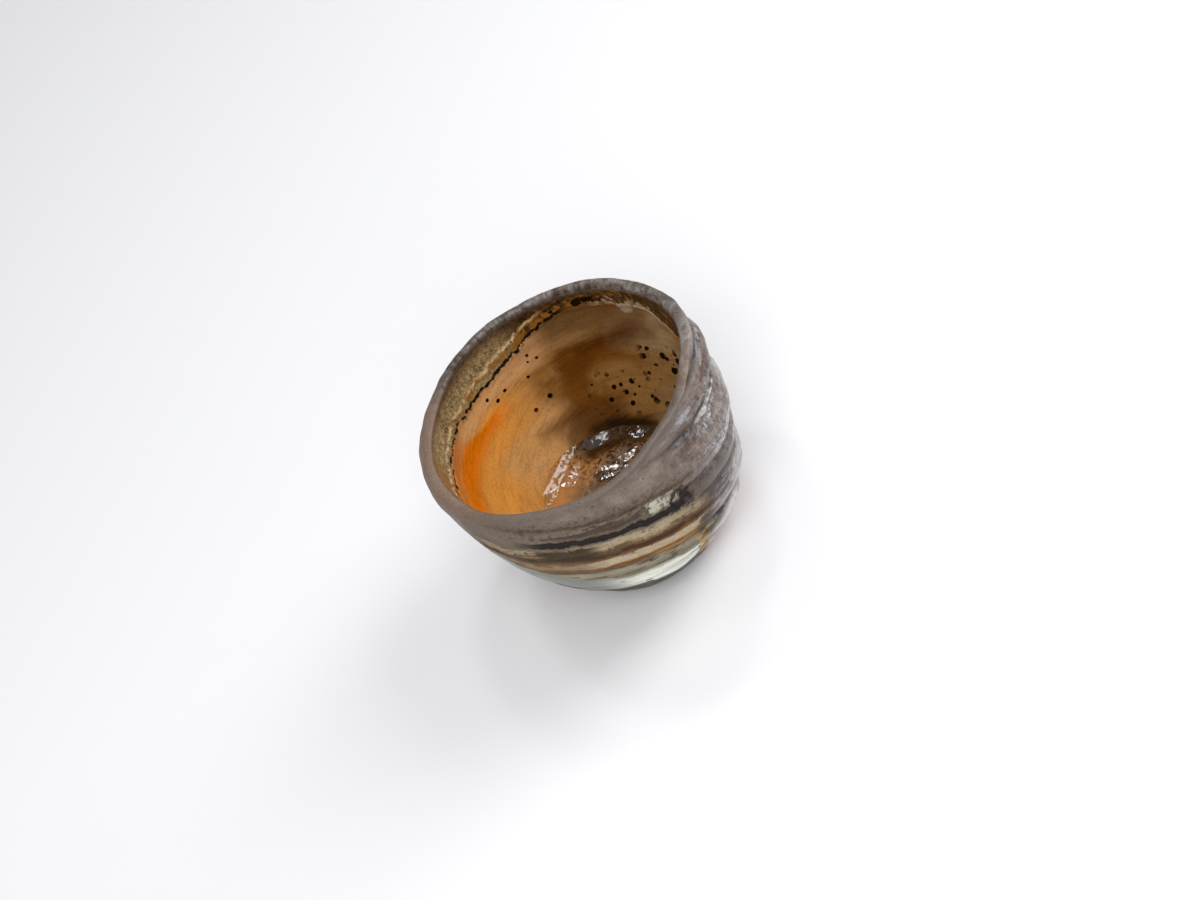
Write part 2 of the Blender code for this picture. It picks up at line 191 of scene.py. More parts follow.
def ridge(depth, angle):
    """Height of the finger ridges, which are strongest at the right and fade at the lip and the base."""
    along = RIDGE_START + np.mod(depth - ridge_course(angle) - RIDGE_START, RIDGE_LEAD)
    lobe = np.interp(along, RIDGE_NOTCHES, range(len(RIDGE_NOTCHES)))
    number = np.minimum(lobe.astype(int), len(RIDGE_SHARES) - 1)
    crest = np.take(RIDGE_SHARES, number) * np.abs(np.sin(math.pi * lobe)) ** RIDGE_ROUNDNESS
    strength = (0.5 + 0.5 * np.cos(angle - RIDGE_STRONG_ANGLE)) ** RIDGE_NARROWING
    strength = RIDGE_FAINT_SHARE + (1 - RIDGE_FAINT_SHARE) * strength
    room = np.minimum(depth - RIDGE_LIP_GAP, BASE_DEPTH - depth)
    return RIDGE_HEIGHT * strength * np.clip(room / RIDGE_FADE, 0, 1) * (crest - RIDGE_SINK)


def waves(table, angle):
    return sum(amount * np.cos(lobes * (angle - math.radians(peak))) for lobes, amount, peak in table)


def hand_formed(radius, depth, angle):
    """Where a turned point goes on the oval, leaning, wavy cup, in the frame's metres."""
    radius, depth, angle = np.broadcast_arrays(radius, depth, angle)
    below_lip = np.maximum(depth, 0)
    near_rim = np.exp(-(below_lip / RIM_REACH) ** 1.5)
    oval = waves(RIM_WAVES, angle) * near_rim + waves(BELLY_WAVES, angle) * (1 - near_rim)
    along = below_lip / SHOULDER_DEPTH
    shoulder = SHOULDER_SHIFT * np.cos(angle - SHOULDER_ANGLE) * along * np.exp(1 - along)
    near_lip = np.exp(-below_lip / LIP_REACH)
    flare = LIP_FLARE * np.exp(FLARE_NARROWING * (np.cos(angle - FLARE_ANGLE) - 1)) * near_lip
    share = np.minimum(1, radius / outer_radius(depth))
    formed = radius + (oval + shoulder + flare) * share
    rise = waves(RISE_WAVES, angle) * np.clip(1 - below_lip / BASE_DEPTH, 0, 1) ** 2
    rise = rise + waves(LIP_WAVES, angle) * near_lip
    x = formed * np.cos(angle) + LEAN_X * depth
    y = formed * np.sin(angle) + LEAN_Y * depth
    z = CUP_HEIGHT - depth + rise * share
    return np.stack([x, y, z], axis=-1) * MM - MIDDLE


def middle_of_cup():
    """Middle of the outside's extent in X and Y, which the origin lies under."""
    depth, angle = np.meshgrid(np.linspace(0, BASE_DEPTH, 61), np.radians(np.arange(360)), indexing="ij")
    points = hand_formed(outer_radius(depth) + ridge(depth, angle), depth, angle)
    return (points.min(axis=(0, 1)) + points.max(axis=(0, 1))) / 2 * np.array([1, 1, 0])


MIDDLE = np.zeros(3)
MIDDLE = middle_of_cup()
POOL_MIDDLE = np.array([LEAN_X, LEAN_Y, 0]) * POOL_DEPTH * MM - MIDDLE
ROUND = np.radians(np.arange(TURN) * 360 / TURN - 180)


def ripple(points, wavelength, seed):
    """Smooth, irregular lumps between about -1 and 1, from waves in many directions."""
    draw = np.random.default_rng(seed)
    total = np.zeros(points.shape[:-1])
    for _ in range(RIPPLE_WAVES):
        direction = draw.normal(size=3)
        length = wavelength * MM * np.linalg.norm(direction)
        direction *= draw.uniform(0.7, 1.4) * 2 * math.pi / length
        total += np.sin(points @ direction + draw.uniform(0, 2 * math.pi))
    return total / math.sqrt(RIPPLE_WAVES)


# Meshes

def new_mesh(name, points, faces, polar):
    """A smooth mesh piece whose points carry the cosine and sine of their angle, and their depth."""
    mesh = bpy.data.meshes.new(name)
    mesh.from_pydata(points.reshape(-1, 3).tolist(), [], faces)
    attribute = mesh.attributes.new("polar", "FLOAT_VECTOR", "POINT")
    attribute.data.foreach_set("vector", polar.reshape(-1).astype(np.float32))
    mesh.shade_smooth()
    mesh.update()
    piece = bpy.data.objects.new(name, mesh)
    bpy.context.scene.collection.objects.link(piece)
    return piece


def polar_of(depth, angle):
    depth, angle = np.broadcast_arrays(depth, angle)
    return np.stack([np.cos(angle), np.sin(angle), depth], axis=-1)


def add_edge(piece, distance):
    """Stores how far each point of a coat is from its edge, for both the face and the back."""
    attribute = piece.data.attributes.new("edge", "FLOAT", "POINT")
    attribute.data.foreach_set("value", np.tile(distance.reshape(-1), 2).astype(np.float32))


def grid_faces(rows, columns, start=0, wrap=True, flip=False):
    """Quads over a grid of points stored row by row."""
    faces = []
    for row in range(rows - 1):
        for column in range(columns if wrap else columns - 1):
            after = (column + 1) % columns
            corner = [row * columns + column, (row + 1) * columns + column,
                      (row + 1) * columns + after, row * columns + after]
            face = [start + index for index in corner]
            faces.append(face[::-1] if flip else face)
    return faces


def turned_solid(name, points, polar):
    """Closed skin over rows of rings whose first and last rows shrink to a point on the axis."""
    rows, columns = points.shape[:2]
    faces = grid_faces(rows, columns)
    tips = np.stack([points[0].mean(axis=0), points[-1].mean(axis=0)])
    tip_polar = np.stack([polar[0].mean(axis=0), polar[-1].mean(axis=0)])
    first, last = rows * columns, rows * columns + 1
    base = (rows - 1) * columns
    for column in range(columns):
        after = (column + 1) % columns
        faces.append([first, column, after])
        faces.append([last, base + after, base + column])
    points = np.concatenate([points.reshape(-1, 3), tips])
    polar = np.concatenate([polar.reshape(-1, 3), tip_polar])
    return new_mesh(name, points, faces, polar)


def coat_solid(name, face, back, polar, wrap):
    """Closed coat between a face and a back that are grids of the same size."""
    rows, columns = face.shape[:2]
    size = rows * columns
    faces = grid_faces(rows, columns, 0, wrap) + grid_faces(rows, columns, size, wrap, flip=True)
    last = (rows - 1) * columns
    for column in range(columns if wrap else columns - 1):
        after = (column + 1) % columns
        faces.append([column, after, size + after, size + column])
        faces.append([last + after, last + column, size + last + column, size + last + after])
    if not wrap:
        for row in range(rows - 1):
            near, below = row * columns, (row + 1) * columns
            faces.append([below, near, size + near, size + below])
            near, below = near + columns - 1, below + columns - 1
            faces.append([near, below, size + below, size + near])
    points = np.concatenate([face.reshape(-1, 3), back.reshape(-1, 3)])
    polar = np.concatenate([polar.reshape(-1, 3), polar.reshape(-1, 3)])
    return new_mesh(name, points, faces, polar)


# Materials

class Shader:
    """Short ways to wire one material's nodes. A value may be a number, a colour or a socket."""

    def __init__(self, name):
        self.material = bpy.data.materials.new(name)
        self.material.use_nodes = True
        self.tree = self.material.node_tree
        self.surface = self.tree.nodes["Principled BSDF"]
        self.place = self.node("ShaderNodeTexCoord").outputs["Object"]
        self.polar = self.attribute("polar").outputs["Vector"]
        parts = self.node("ShaderNodeSeparateXYZ", self.polar)
        self.depth = parts.outputs["Z"]
        self.radians = self.math("ARCTAN2", parts.outputs["Y"], parts.outputs["X"])
        self.angle = self.math("DEGREES", self.radians)

    def node(self, kind, *values, **settings):
        """A new node with its settings made and its first inputs filled in order."""
        made = self.tree.nodes.new(kind)
        for name, value in settings.items():
            setattr(made, name, value)
        for socket, value in zip(made.inputs, values):
            self.put(socket, value)
        return made

    def put(self, socket, value):
        """Links a socket to another one, or sets its constant value."""
        if isinstance(value, bpy.types.NodeSocket):
            self.tree.links.new(value, socket)
        elif isinstance(value, tuple) and len(value) == 3 and socket.type == "RGBA":
            socket.default_value = (*value, 1)
        else:
            socket.default_value = value

    def set(self, **values):
        """Fills the surface's own inputs by name."""
        for name, value in values.items():
            label = name.replace("_", " ").title().replace("Ior", "IOR")
            self.put(self.surface.inputs[label], value)

    def attribute(self, name):
        return self.node("ShaderNodeAttribute", attribute_name=name)

    def math(self, operation, *values):
        return self.node("ShaderNodeMath", *values, operation=operation).outputs["Value"]

    def add(self, *values):
        total = values[0]
        for value in values[1:]:
            total = self.math("ADD", total, value)
        return total

    def times(self, *values):
        total = values[0]
        for value in values[1:]:
            total = self.math("MULTIPLY", total, value)
        return total

    def flip(self, value):
        return self.math("SUBTRACT", 1.0, value)

    def step(self, value, low, high):
        """0 below low, 1 above high, and an S-curve between them."""
        made = self.node("ShaderNodeMapRange", interpolation_type="SMOOTHSTEP")
        for socket, given in zip(("Value", "From Min", "From Max"), (value, low, high)):
            self.put(made.inputs[socket], given)
        return made.outputs["Result"]

    def band(self, value, low, high, soft):
        """1 between low and high, falling to 0 within a soft distance of each."""
        inside = self.step(value, low - soft, low + soft)
        return self.times(inside, self.flip(self.step(value, high - soft, high + soft)))

    def near(self, degrees, full, none, warp=0.0):
        """1 within full degrees of an angle round the cup, falling to 0 at none degrees."""
        centre = (math.cos(math.radians(degrees)), math.sin(math.radians(degrees)), 0.0)
        facing = self.node("ShaderNodeVectorMath", self.polar, centre, operation="DOT_PRODUCT")
        cosine = self.add(facing.outputs["Value"], warp)
        return self.step(cosine, math.cos(math.radians(none)), math.cos(math.radians(full)))

    def noise(self, size, detail=4.0, roughness=0.55, distortion=0.0, place=None, shift=0.0):
        """Fractal noise between 0 and 1 whose largest features are about size millimetres."""
        made = self.node("ShaderNodeTexNoise", noise_dimensions="4D")
        scale = METRE / size if place is None else 1 / size
        inputs = {"Vector": place or self.place, "W": shift, "Scale": scale, "Detail": detail,
                  "Roughness": roughness, "Distortion": distortion}
        for name, value in inputs.items():
            self.put(made.inputs[name], value)
        return made.outputs["Fac"]

    def spots(self, spacing, smallest, largest, shift=0.0):
        """Round spots of unlike size, one at most to a cell of the given spacing in millimetres."""
        moved = self.node("ShaderNodeVectorMath", self.place, (shift, shift, shift), operation="ADD")
        cells = self.node("ShaderNodeTexVoronoi")
        self.put(cells.inputs["Vector"], moved.outputs["Vector"])
        self.put(cells.inputs["Scale"], METRE / spacing)
        pick = self.node("ShaderNodeSeparateColor", cells.outputs["Color"]).outputs[0]
        pick = self.math("POWER", pick, 1.4)
        size = self.add(smallest / spacing, self.times(pick, (largest - smallest) / spacing))
        ragged = self.centred(self.noise(0.7, 2), 0.10)
        gap = self.math("SUBTRACT", self.add(cells.outputs["Distance"], ragged), size)
        return self.flip(self.step(gap, -0.03, 0.015))

    def mix(self, share, first, second):
        """The first colour where share is 0, and the second where it is 1."""
        made = self.node("ShaderNodeMix", data_type="RGBA")
        for index, value in ((0, share), (6, first), (7, second)):
            self.put(made.inputs[index], value)
        return made.outputs[2]

    def paint(self, colour, **layers):
        """Lays layers over a colour in turn. Each is a tint, its share, and the masks that bound it."""
        for tint, share, *masks in layers.values():
            colour = self.mix(self.times(share, *masks), colour, tint)
        return colour

    def shade(self, colour, share, darkest):
        """Darkens a colour towards a fraction of itself where share is 1."""
        made = self.node("ShaderNodeMix", data_type="RGBA", blend_type="MULTIPLY")
        for index, value in ((0, share), (6, colour), (7, (darkest, darkest, darkest))):
            self.put(made.inputs[index], value)
        return made.outputs[2]

    def ramp(self, value, stops):
        """Colours that follow one another as a value rises through the places of the stops."""
        made = self.node("ShaderNodeValToRGB", value)
        points = made.color_ramp.elements
        while len(points) < len(stops):
            points.new(1)
        for point, (place, colour) in zip(points, stops):
            point.position = place
            point.color = (*colour, 1)
        return made.outputs["Color"]

    def blotch(self, size, low, high, detail=4.0, distortion=0.0, shift=0.0):
        """Patches where fractal noise passes a threshold, soft between low and high."""
        return self.step(self.noise(size, detail, 0.6, distortion, shift=shift), low, high)

    def scaled(self, vector, amounts):
        made = self.node("ShaderNodeVectorMath", vector, operation="MULTIPLY")
        made.inputs[1].default_value = amounts
        return made.outputs["Vector"]

    def crease_shade_mask(self, along):
        """Mask of the painted shade in the notches between the ridges: 1 in the notches, fading within a
        millimetre or two.
        """
        margin, reach = 5, 2.2
        wound = self.math("WRAP", along, RIDGE_START + RIDGE_LEAD - margin, RIDGE_START - margin)
        total = 0.0
        for notch in RIDGE_NOTCHES[:-1]:
            away = self.math("ABSOLUTE", self.add(wound, -float(notch)))
            total = self.add(self.flip(self.step(away, 0.0, reach)), total)
        return total

    def bump(self, height, depth):
        """Raises the surface by up to depth millimetres."""
        made = self.node("ShaderNodeBump")
        self.put(made.inputs["Height"], height)
        self.put(made.inputs["Distance"], depth * MM)
        self.put(self.surface.inputs["Normal"], made.outputs["Normal"])

    def centred(self, value, amount):
        """A noise value turned into one that swings about 0 by up to half the amount each way."""
        return self.times(self.add(value, -0.5), amount)

    def along(self):
        """Depth measured along the winding ridges, in millimetres."""
        turn = self.times(self.radians, RIDGE_LEAD / (2 * math.pi))
        twice = self.times(self.add(self.radians, -RIDGE_SWAY_ANGLE), 2.0)
        sway = self.times(self.math("SINE", twice), RIDGE_SWAY)
        return self.math("SUBTRACT", self.depth, self.add(turn, sway))

    def streaks(self, length, width, shift=0.0, tilt=9.0):
        """Noise drawn out round the cup, tilted at the front as the ridges are; sizes in millimetres."""
        slope = self.times(self.math("SINE", self.add(self.radians, math.radians(70))), tilt)
        height = self.times(self.math("SUBTRACT", self.depth, slope), 1 / width)
        turn = self.scaled(self.polar, (BELLY_RADIUS / length, BELLY_RADIUS / length, 0))
        lift = self.node("ShaderNodeCombineXYZ", 0.0, 0.0, height).outputs["Vector"]
        drawn = self.node("ShaderNodeVectorMath", turn, lift, operation="ADD")
        return self.noise(1.0, 5.0, 0.6, 0.3, place=drawn.outputs["Vector"], shift=shift)


# Stripes of the front, from the lip down: depth along the ridges in millimetres, and colour
STRIPES = (
    (20.0, (0.185, 0.144, 0.115)),
    (23.2, (0.150, 0.111, 0.085)),
    (24.0, (0.080, 0.060, 0.046)),
    (25.0, (0.170, 0.132, 0.102)),
    (28.5, (0.185, 0.142, 0.108)),
    (31.8, (0.155, 0.118, 0.082)),
    (32.8, (0.330, 0.262, 0.170)),
    (35.2, (0.300, 0.220, 0.130)),
    (36.1, (0.150, 0.086, 0.040)),
    (37.0, (0.055, 0.030, 0.016)),
    (38.2, (0.060, 0.032, 0.016)),
    (38.9, (0.240, 0.140, 0.070)),
    (39.8, (0.480, 0.370, 0.250)),
    (41.6, (0.420, 0.290, 0.150)),
    (42.4, (0.310, 0.145, 0.036)),
    (43.6, (0.160, 0.062, 0.014)),
    (44.6, (0.110, 0.072, 0.034)),
    (46.9, (0.300, 0.265, 0.190)),
    (49.2, (0.175, 0.152, 0.105)),
    (51.2, (0.250, 0.245, 0.190)),
    # lowest stop: grey-olive glaze, darkened by painted shade near the floor
    (56.0, (0.125, 0.130, 0.104)),
)

# Clear cream bands of the front: angle of the middle, upper and lower depth along the ridges, and colour
CREAM_BANDS = (
    (-80, 32.3, 34.8, (0.400, 0.320, 0.215)),
    (-92, 39.3, 42.3, (0.460, 0.385, 0.280)),
)

# Thin rust lines: depths along the ridges, and half the width
RUST_THREADS = (38.6, 43.3)
RUST_THREAD_HALF = 0.35

# How far the stripes swell up and down
STRIPE_SWELL = 2.6


def stripes_of_front(sh, along, wobble, streak):
    """The banded colours, with widths that vary and tan that breaks up into brown."""
    start, end = STRIPES[0][0], STRIPES[-1][0]
    swell = sh.times(wobble, STRIPE_SWELL)
    frayed = sh.centred(sh.noise(1.4, 4, 0.65, shift=12.0), 1.8)
    moved = sh.add(along, swell, sh.centred(streak, 2.6), frayed)
    place = sh.math("DIVIDE", sh.add(moved, -start), end - start)
    colour = sh.ramp(place, [((depth - start) / (end - start), tint) for depth, tint in STRIPES])
    worn = sh.step(sh.streaks(9, 1.6, 5.0), 0.52, 0.58)
    cracked = sh.blotch(1.5, 0.56, 0.61, 4.0, 0.5, shift=6.0)
    rusted = sh.blotch(3.5, 0.50, 0.60, 4.0, 0.4, shift=9.0)
    colour = sh.paint(
        colour,
        worn=((0.100, 0.068, 0.042), 0.80, worn, sh.step(along, 31.5, 33)),
        cracks=((0.070, 0.046, 0.026), 0.85, cracked, sh.band(moved, 32.2, 36.0, 0.4)),
        rust=((0.240, 0.122, 0.034), 0.75, rusted, sh.band(moved, 38.6, 44.6, 0.6)),
        orange=((0.390, 0.225, 0.070), 0.70, sh.near(-80, 8, 14), sh.band(moved, 41.0, 45.3, 0.8)),
    )
    return clear_lines(sh, colour, sh.add(along, swell, sh.centred(streak, 1.6)))


def clear_lines(sh, colour, crisp):
    """Lines of the front with clear edges: cream bands, rust threads, smoke and the black stripe."""
    whole = sh.flip(sh.times(sh.blotch(2.0, 0.54, 0.62, 3.0, 0.5, shift=31.0), 0.75))
    for angle, upper, lower, tint in CREAM_BANDS:
        inside = sh.band(crisp, upper, lower, 0.35)
        colour = sh.paint(colour, cream=(tint, 0.75, sh.near(angle, 18, 32), inside, whole))
    for depth in RUST_THREADS:
        inside = sh.band(crisp, depth - RUST_THREAD_HALF, depth + RUST_THREAD_HALF, 0.22)
        colour = sh.paint(colour, rust=((0.160, 0.062, 0.014), 0.85, sh.near(-106, 40, 56), inside))
    smoky = sh.step(sh.streaks(12, 1.8, 27.0), 0.42, 0.54)
    ragged = sh.add(crisp, sh.centred(sh.noise(1.6, 4), 1.5))
    return sh.paint(
        colour,
        smoke=((0.052, 0.034, 0.027), 0.85, sh.near(-96, 16, 32), sh.band(crisp, 23.5, 28.8, 1.0), smoky),
        black=((0.012, 0.011, 0.011), 0.95, sh.near(-98, 24, 38), sh.band(ragged, 29.2, 31.4, 0.3)),
    )


def mottled_side(sh, colour, right):
    """Mauve clay with blue-grey streaks along the ridges, brown freckles, and paler colour lower down."""
    low = sh.step(sh.add(sh.depth, sh.centred(sh.noise(5, 4), 9.0)), 16, 27)
    blue = sh.step(sh.streaks(16, 2.2, 1.0), 0.50, 0.60)
    rust = sh.step(sh.streaks(14, 2.2, 14.0), 0.50, 0.59)
    mauve = sh.step(sh.streaks(10, 3.0, 21.0), 0.50, 0.60)
    freckled = sh.blotch(1.7, 0.53, 0.58, 3.0, 0.6, shift=11.0)
    peppered = sh.blotch(2.2, 0.47, 0.55, 3.0, 0.6, shift=17.0)
    spots = sh.spots(3.6, 0.1, 1.2, 0.9)
    return sh.paint(
        colour,
        clay=((0.185, 0.146, 0.124), 0.70, right),
        crests=((0.370, 0.325, 0.300), 0.75, right, low),
        blue=((0.340, 0.362, 0.400), 0.75, right, blue),
        rust=((0.110, 0.064, 0.041), 0.85, right, rust, sh.flip(sh.times(low, 0.5))),
        mauve=((0.125, 0.092, 0.080), 0.70, right, mauve),
        freckles=((0.068, 0.042, 0.033), 0.85, right, freckled, sh.band(sh.depth, 6, 30, 4)),
        pepper=((0.098, 0.064, 0.050), 0.70, sh.near(-30, 24, 40), peppered, sh.band(sh.depth, 9, 34, 3)),
        spots=((0.085, 0.050, 0.036), 0.75, right, spots, sh.flip(sh.times(low, 0.7))),
    )


def flashed_back(sh, colour):
    """Dark and pale streaks round the back, with a rust flash at the left."""
    behind = sh.near(125, 70, 110)
    dark = sh.step(sh.streaks(18, 3.2, 33.0), 0.50, 0.62)
    pale = sh.step(sh.streaks(22, 2.6, 41.0), 0.53, 0.64)
    uneven = sh.blotch(9, 0.42, 0.60, shift=17.0)
    return sh.paint(
        colour,
        dark=((0.112, 0.078, 0.058), 0.65, behind, dark),
        pale=((0.285, 0.270, 0.265), 0.55, behind, pale),
        flash=((0.290, 0.155, 0.088), 0.60, sh.near(158, 28, 62), sh.band(sh.depth, 20, 44, 8), uneven),
    )


def front_marks(sh, colour, along):
    """Single marks of the front: a cream patch, black next to it, painted shadow below a ridge notch, a
    painted highlight on a pale patch, soot, a drip and dark speckle.
    """
    rough = sh.centred(sh.noise(2.5, 2), 1.8)
    course, level = sh.add(along, rough), sh.add(sh.depth, rough)
    warp = sh.centred(sh.noise(2.0, 2, shift=5.0), 0.02)
    frayed = sh.centred(sh.noise(4.0, 4, 0.6, shift=9.0), 0.10)
    by_patch = sh.times(sh.near(-71, 3.5, 6, warp), sh.blotch(3.0, 0.44, 0.52, 4.0, 0.4, shift=21.0))
    sooty = sh.times(sh.near(-57, 9, 18, warp), sh.step(sh.streaks(9, 1.5, 8.0), 0.46, 0.54))
    peppered = sh.times(sh.near(-95, 28, 46), sh.blotch(1.5, 0.51, 0.58, 3.0))
    return sh.paint(
        colour,
        olive=((0.045, 0.029, 0.015), 0.92, sh.near(-117, 6, 13), sh.band(course, 32.8, 37.8, 0.6)),
        burnt=((0.150, 0.098, 0.052), 0.60, sh.near(-136, 20, 32), sh.band(course, 37.8, 44.5, 0.8)),
        edge=((0.130, 0.105, 0.072), 0.80, sh.near(-78, 7.5, 9.5, warp), sh.band(course, 24.2, 29.2, 0.5)),
        cream=((0.500, 0.470, 0.375), 0.95, sh.near(-78, 5.5, 7.0, warp), sh.band(course, 25.0, 28.8, 0.5)),
        # painted shadow: a dark brown band below a notch of the ridges
        notch=((0.075, 0.052, 0.042), 0.88, sh.near(-46, 14, 22, warp), sh.band(course, 28.5, 34.5, 1.6)),
        black=((0.014, 0.012, 0.011), 0.95, by_patch, sh.band(course, 25.5, 33.0, 1.0)),
        # painted highlight: a pale grey patch right of the drip
        pale=((0.600, 0.575, 0.560), 0.80, sh.near(-54, 7, 18, frayed), sh.step(level, 41, 44)),
        drip=((0.430, 0.270, 0.120), 0.92, sh.near(-69.5, 3.0, 4.6, warp), sh.band(level, 37, 50, 1.2)),
        soot=((0.040, 0.030, 0.024), 0.90, sooty, sh.band(sh.depth, 27, 41, 1.5)),
        speckle=((0.070, 0.050, 0.038), 0.75, peppered, sh.band(along, 21.0, 29.0, 2.0)),
    )


def lip_colours(sh, colour, wobble):
    """The lip: warm at the left, grey at the front, and smoked in uneven patches at the back."""
    lip = sh.flip(sh.step(sh.add(sh.depth, sh.times(wobble, 2.5)), 0.6, 4.0))
    runs = sh.noise(1.0, 3, 0.6, place=sh.scaled(sh.polar, (30.0, 30.0, 0.3)))
    uneven = sh.add(sh.times(runs, 0.4), sh.times(sh.noise(2.6, 4, 0.6, 0.5, shift=6.0), 0.6))
    smoked = sh.ramp(uneven, ((0.40, (0.035, 0.024, 0.018)), (0.50, (0.110, 0.088, 0.076)),
                              (0.60, (0.230, 0.215, 0.210))))
    return sh.paint(
        colour,
        clay=((0.230, 0.172, 0.130), 0.50, lip),
        warm=((0.215, 0.140, 0.098), 0.70, lip, sh.near(178, 30, 60)),
        grey=((0.125, 0.104, 0.092), 0.60, lip, sh.near(-95, 30, 65)),
        smoke=(smoked, 0.85, lip, sh.near(74, 46, 74)),
    )


def stoneware():
    """Flashed clay: grey-brown lip, stripes at the front and blue-grey mottling at the right."""
    sh = Shader("wood_fired_stoneware")
    along = sh.along()
    wobble = sh.add(sh.noise(7, 3), -0.5)
    streak = sh.streaks(14, 1.6)
    grain = sh.noise(0.7, 3, 0.6)
    right = sh.near(2, 52, 74)
    facing = sh.add(sh.near(-108, 34, 60), sh.times(wobble, 1.2), sh.centred(streak, 0.8))
    front, lower = sh.step(facing, 0.30, 0.65), sh.step(along, 20.5, 23)
    low = sh.step(sh.add(sh.depth, sh.times(wobble, 3.0)), 49, 53)
    colour = sh.ramp(sh.noise(6, 6, 0.7), ((0.32, (0.130, 0.100, 0.082)), (0.50, (0.205, 0.162, 0.133)),
                                           (0.68, (0.285, 0.232, 0.196))))
    colour = sh.paint(colour, rust=((0.220, 0.130, 0.078), 0.4, sh.blotch(9, 0.55, 0.68, shift=3.0)))
    colour = flashed_back(sh, colour)
    colour = mottled_side(sh, colour, right)
    colour = sh.mix(sh.times(front, lower), colour, stripes_of_front(sh, along, wobble, streak))
    colour = front_marks(sh, colour, along)
    # painted shade darkening the notches between the ridges at the right
    colour = sh.shade(colour, sh.times(sh.crease_shade_mask(along), sh.near(-8, 42, 78), 0.85), 0.34)
    colour = lip_colours(sh, colour, wobble)
    colour = sh.paint(
        colour,
        under=((0.360, 0.180, 0.100), 0.70, low, sh.flip(sh.near(-105, 34, 48))),
        specks=((0.040, 0.028, 0.022), 0.75, sh.spots(2.2, 0.0, 0.4, 0.2)),
    )
    colour = sh.shade(colour, sh.step(grain, 0.45, 0.72), 0.72)
    rough = sh.add(0.38, sh.times(sh.noise(4, 4), 0.26))
    shine = sh.times(right, sh.add(0.15, sh.times(sh.step(sh.depth, 8, 16), 0.75)))
    sh.set(base_color=colour, roughness=rough, specular_ior_level=0.06)
    sh.set(coat_weight=shine, coat_roughness=0.15)
    lumps = sh.times(sh.noise(2.5, 5, 0.6), 0.6)
    sh.bump(sh.add(lumps, sh.times(grain, 0.3), sh.times(streak, 0.3)), 0.20)
    return sh.material


def glaze_fields(sh, brushed):
    """The broad fields inside: khaki right, brown back, gold left, with peach and an orange flash."""
    cloud = sh.noise(9, 4, 0.5, 0.3)
    warp = sh.centred(sh.noise(8, 2, 0.5, shift=2.0), 0.20)
    level = sh.add(sh.depth, sh.centred(brushed, 2.2))
    drifting = sh.add(level, sh.centred(cloud, 6.0))
    sloping = sh.add(drifting, sh.times(sh.add(sh.angle, -60.0), -0.20))
    left = sh.near(174, 48, 76, warp)
    flash_top = sh.add(24.0, sh.times(sh.near(178, 34, 50), -3.6))
    below_top = sh.step(sh.math("SUBTRACT", level, flash_top), -0.8, 0.8)
    above_gold = sh.flip(sh.step(level, 24.8, 30.2))
    colour = sh.ramp(cloud, ((0.35, (0.400, 0.195, 0.056)), (0.65, (0.530, 0.272, 0.088))))
    return sh.paint(
        colour,
        khaki=((0.245, 0.150, 0.064), 0.95, sh.near(25, 30, 54, warp)),
        brown=((0.165, 0.064, 0.007), 0.92, sh.near(68, 10, 36, warp)),
        pale_khaki=((0.340, 0.238, 0.120), 0.80, sh.near(45, 8, 22, warp), sh.band(drifting, 11, 24, 3)),
        tan=((0.320, 0.190, 0.078), 0.75, sh.near(92, 16, 38, warp), sh.band(drifting, 8, 20, 2.5)),
        smoke=((0.115, 0.053, 0.015), 0.75, sh.near(66, 14, 28, warp), sh.flip(sh.step(drifting, 14, 20))),
        sweep=((0.070, 0.018, 0.001), 0.90, sh.near(64, 10, 32, warp), sh.band(sloping, 17.5, 24, 3.5)),
        brown_run=((0.130, 0.042, 0.004), 0.60, sh.near(78, 4, 24, warp), sh.band(drifting, 24, 42, 4)),
        low_khaki=((0.290, 0.160, 0.052), 0.70, sh.near(56, 8, 20, warp), sh.band(drifting, 29, 42, 3)),
        gold=((0.840, 0.360, 0.064), 0.95, left),
        low_gold=((0.600, 0.275, 0.076), 0.75, left, sh.step(drifting, 37, 45)),
        low_peach=((0.620, 0.365, 0.155), 0.60, sh.near(118, 12, 28, warp), sh.band(drifting, 34, 45, 3)),
        peach=((0.640, 0.350, 0.150), 0.85, sh.near(122, 22, 40, warp), sh.band(level, 8, 22.2, 1.4)),
        rust=((0.600, 0.180, 0.030), 0.80, sh.near(176, 26, 44, warp), sh.band(level, 8, 21.5, 1.2)),
        orange=((0.800, 0.190, 0.001), 0.95, sh.near(172, 46, 62, warp), below_top, above_gold),
        low_brown=((0.075, 0.026, 0.003), 0.75, sh.near(86, 14, 30, warp), sh.band(level, 38.0, 46.0, 2.5)),
        shore=((0.018, 0.007, 0.001), 0.95, sh.near(62, 14, 30, warp), sh.step(level, 41.6, 43.6)),
    )


def iron_spots(sh):
    """Iron spots of the inside glaze, crowded at the back right and fewer towards the left."""
    crowd = sh.times(sh.near(39, 9, 13), sh.band(sh.depth, 22.5, 40, 1.5), sh.spots(2.6, 0.3, 1.5, 0.10))
    some = sh.times(sh.near(65, 12, 20), sh.band(sh.depth, 31, 42, 2), sh.spots(2.4, 0.1, 1.0, 0.20))
    few = sh.times(sh.near(107, 14, 20), sh.band(sh.depth, 16, 34, 2), sh.spots(2.7, 0.0, 0.9, 0.35))
    return sh.math("MINIMUM", sh.add(crowd, some, few), 1.0)


